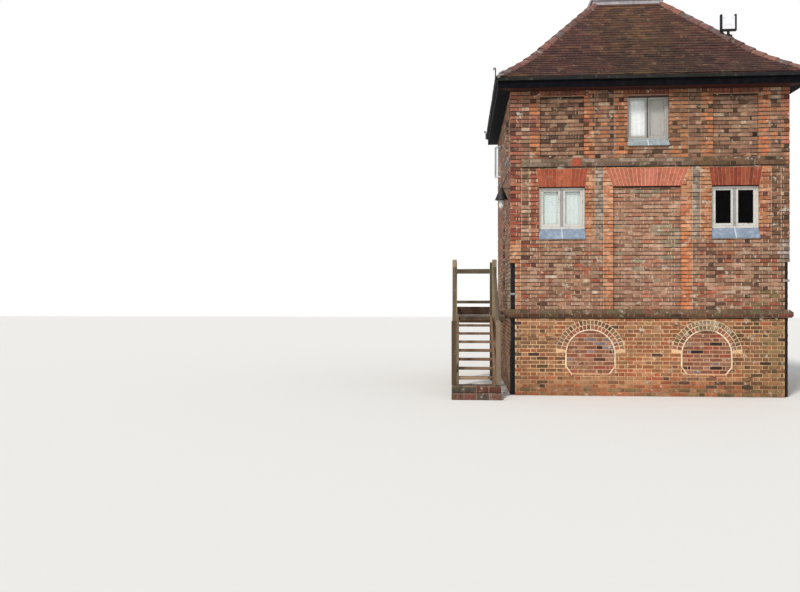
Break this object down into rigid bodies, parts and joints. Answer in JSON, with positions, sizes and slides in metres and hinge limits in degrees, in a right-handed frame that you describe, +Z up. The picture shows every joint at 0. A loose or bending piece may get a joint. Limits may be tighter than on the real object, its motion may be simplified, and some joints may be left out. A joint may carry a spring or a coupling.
{
  "type": "oast house",
  "caption": "Square brick oast house with a hipped tile roof, blind arches, casement windows and an outside timber stair.",
  "frame": {"origin": "middle of the front wall's foot, on the ground, half way through the wall's thickness", "axes": "+X right along the front, +Y from the front to the back, +Z up"},
  "size_m": [6.682, 6.357, 8.3384],
  "materials": {
    "glass": "clear window glass",
    "brick": "fired clay brick laid in pale lime mortar",
    "rubbed_brick": "soft red rubbed brick, fine joints",
    "window_paint": "chalky off-white paint",
    "black_iron": "dull black iron",
    "door_paint": "black tarred boards",
    "black_paint": "black painted timber",
    "floor_wood": "dry floor timber",
    "oak": "weathered grey brown timber",
    "white_panel": "white paint",
    "clay_tile": "clay tile, mossy and mottled",
    "lamp_glass": "opal glass",
    "lead": "dull blue grey sheet lead",
    "weathered_brick": "moulded brick, weathered and lichened"
  },
  "bodies": {
    "root": {"back_glass": "glass", "back_wall": "brick", "back_window_arches": "rubbed_brick", "back_windows": "window_paint", "blind_arch_fills": "brick", "blind_arches": "brick", "brick_steps": "brick", "corner_guards": "black_iron", "door_frame": "door_paint", "door_leaf": "door_paint", "eaves_back": "black_paint", "eaves_front": "black_paint", "eaves_left": "black_paint", "eaves_right": "black_paint", "first_floor": "floor_wood", "front_glass": "glass", "front_wall": "brick", "front_window_arches": "rubbed_brick", "front_windows": "window_paint", "handrail_left": "oak", "handrail_right": "oak", "hip_irons": "black_iron", "hip_lamp_bracket": "black_iron", "hip_lamp_panel": "white_panel", "hip_tiles": "clay_tile", "landing": "oak", "landing_end_rails": "oak", "landing_posts_left": "oak", "landing_posts_right": "oak", "landing_side_rails": "oak", "lantern": "black_iron", "lantern_globe": "lamp_glass", "lead_cap": "lead", "lead_sills": "lead", "left_glass": "glass", "left_wall": "brick", "left_windows": "window_paint", "panel_arch": "rubbed_brick", "plat_band": "weathered_brick", "plinth_course": "weathered_brick", "right_glass": "glass", "right_wall": "brick", "right_windows": "window_paint", "roof_back": "clay_tile", "roof_curb": "lead", "roof_front": "clay_tile", "roof_left": "clay_tile", "roof_right": "clay_tile", "stair_newels": "oak", "stair_stringer_left": "oak", "stair_stringer_right": "oak", "stair_treads": "oak", "upper_floor": "floor_wood"}
  },
  "joints": []
}
